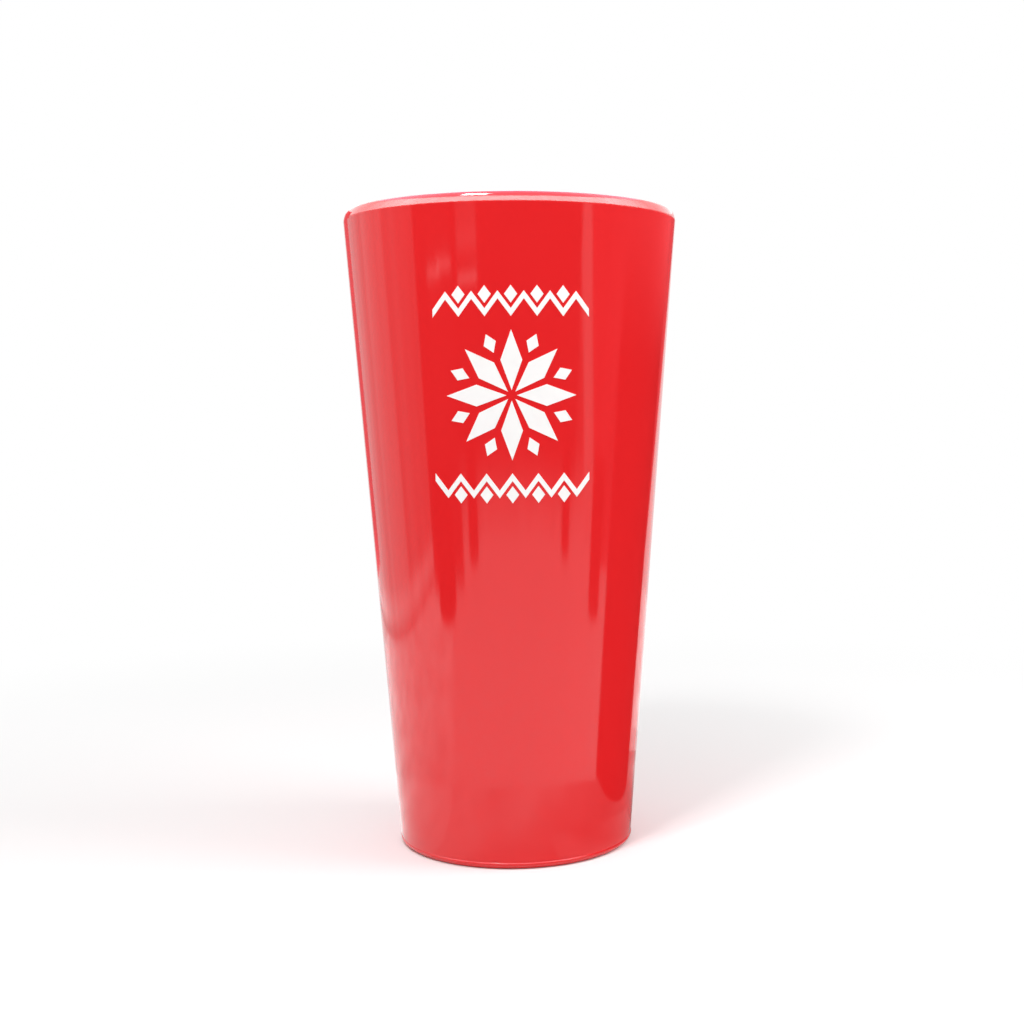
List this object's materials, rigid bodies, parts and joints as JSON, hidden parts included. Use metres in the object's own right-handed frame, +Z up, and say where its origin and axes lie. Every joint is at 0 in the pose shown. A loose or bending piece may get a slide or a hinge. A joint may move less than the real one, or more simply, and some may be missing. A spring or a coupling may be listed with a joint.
{
  "type": "plastic tumbler",
  "caption": "Tall tapered drinking tumbler in glossy red plastic, with a rounded lip, a recessed foot and a white ornament printed on the front.",
  "frame": {"origin": "on the table under the middle of the cup, where the cup's axis meets the plane of its foot ring", "axes": "+Z up along the cup's axis from foot to mouth, -Y out of the front that carries the print, +X to the right seen from the front"},
  "size_m": [0.0838, 0.0838, 0.16],
  "materials": {
    "red_plastic": "gloss",
    "white_ink": "satin"
  },
  "bodies": {
    "root": {"tumbler": "red_plastic", "ink_print": "white_ink"}
  },
  "joints": []
}
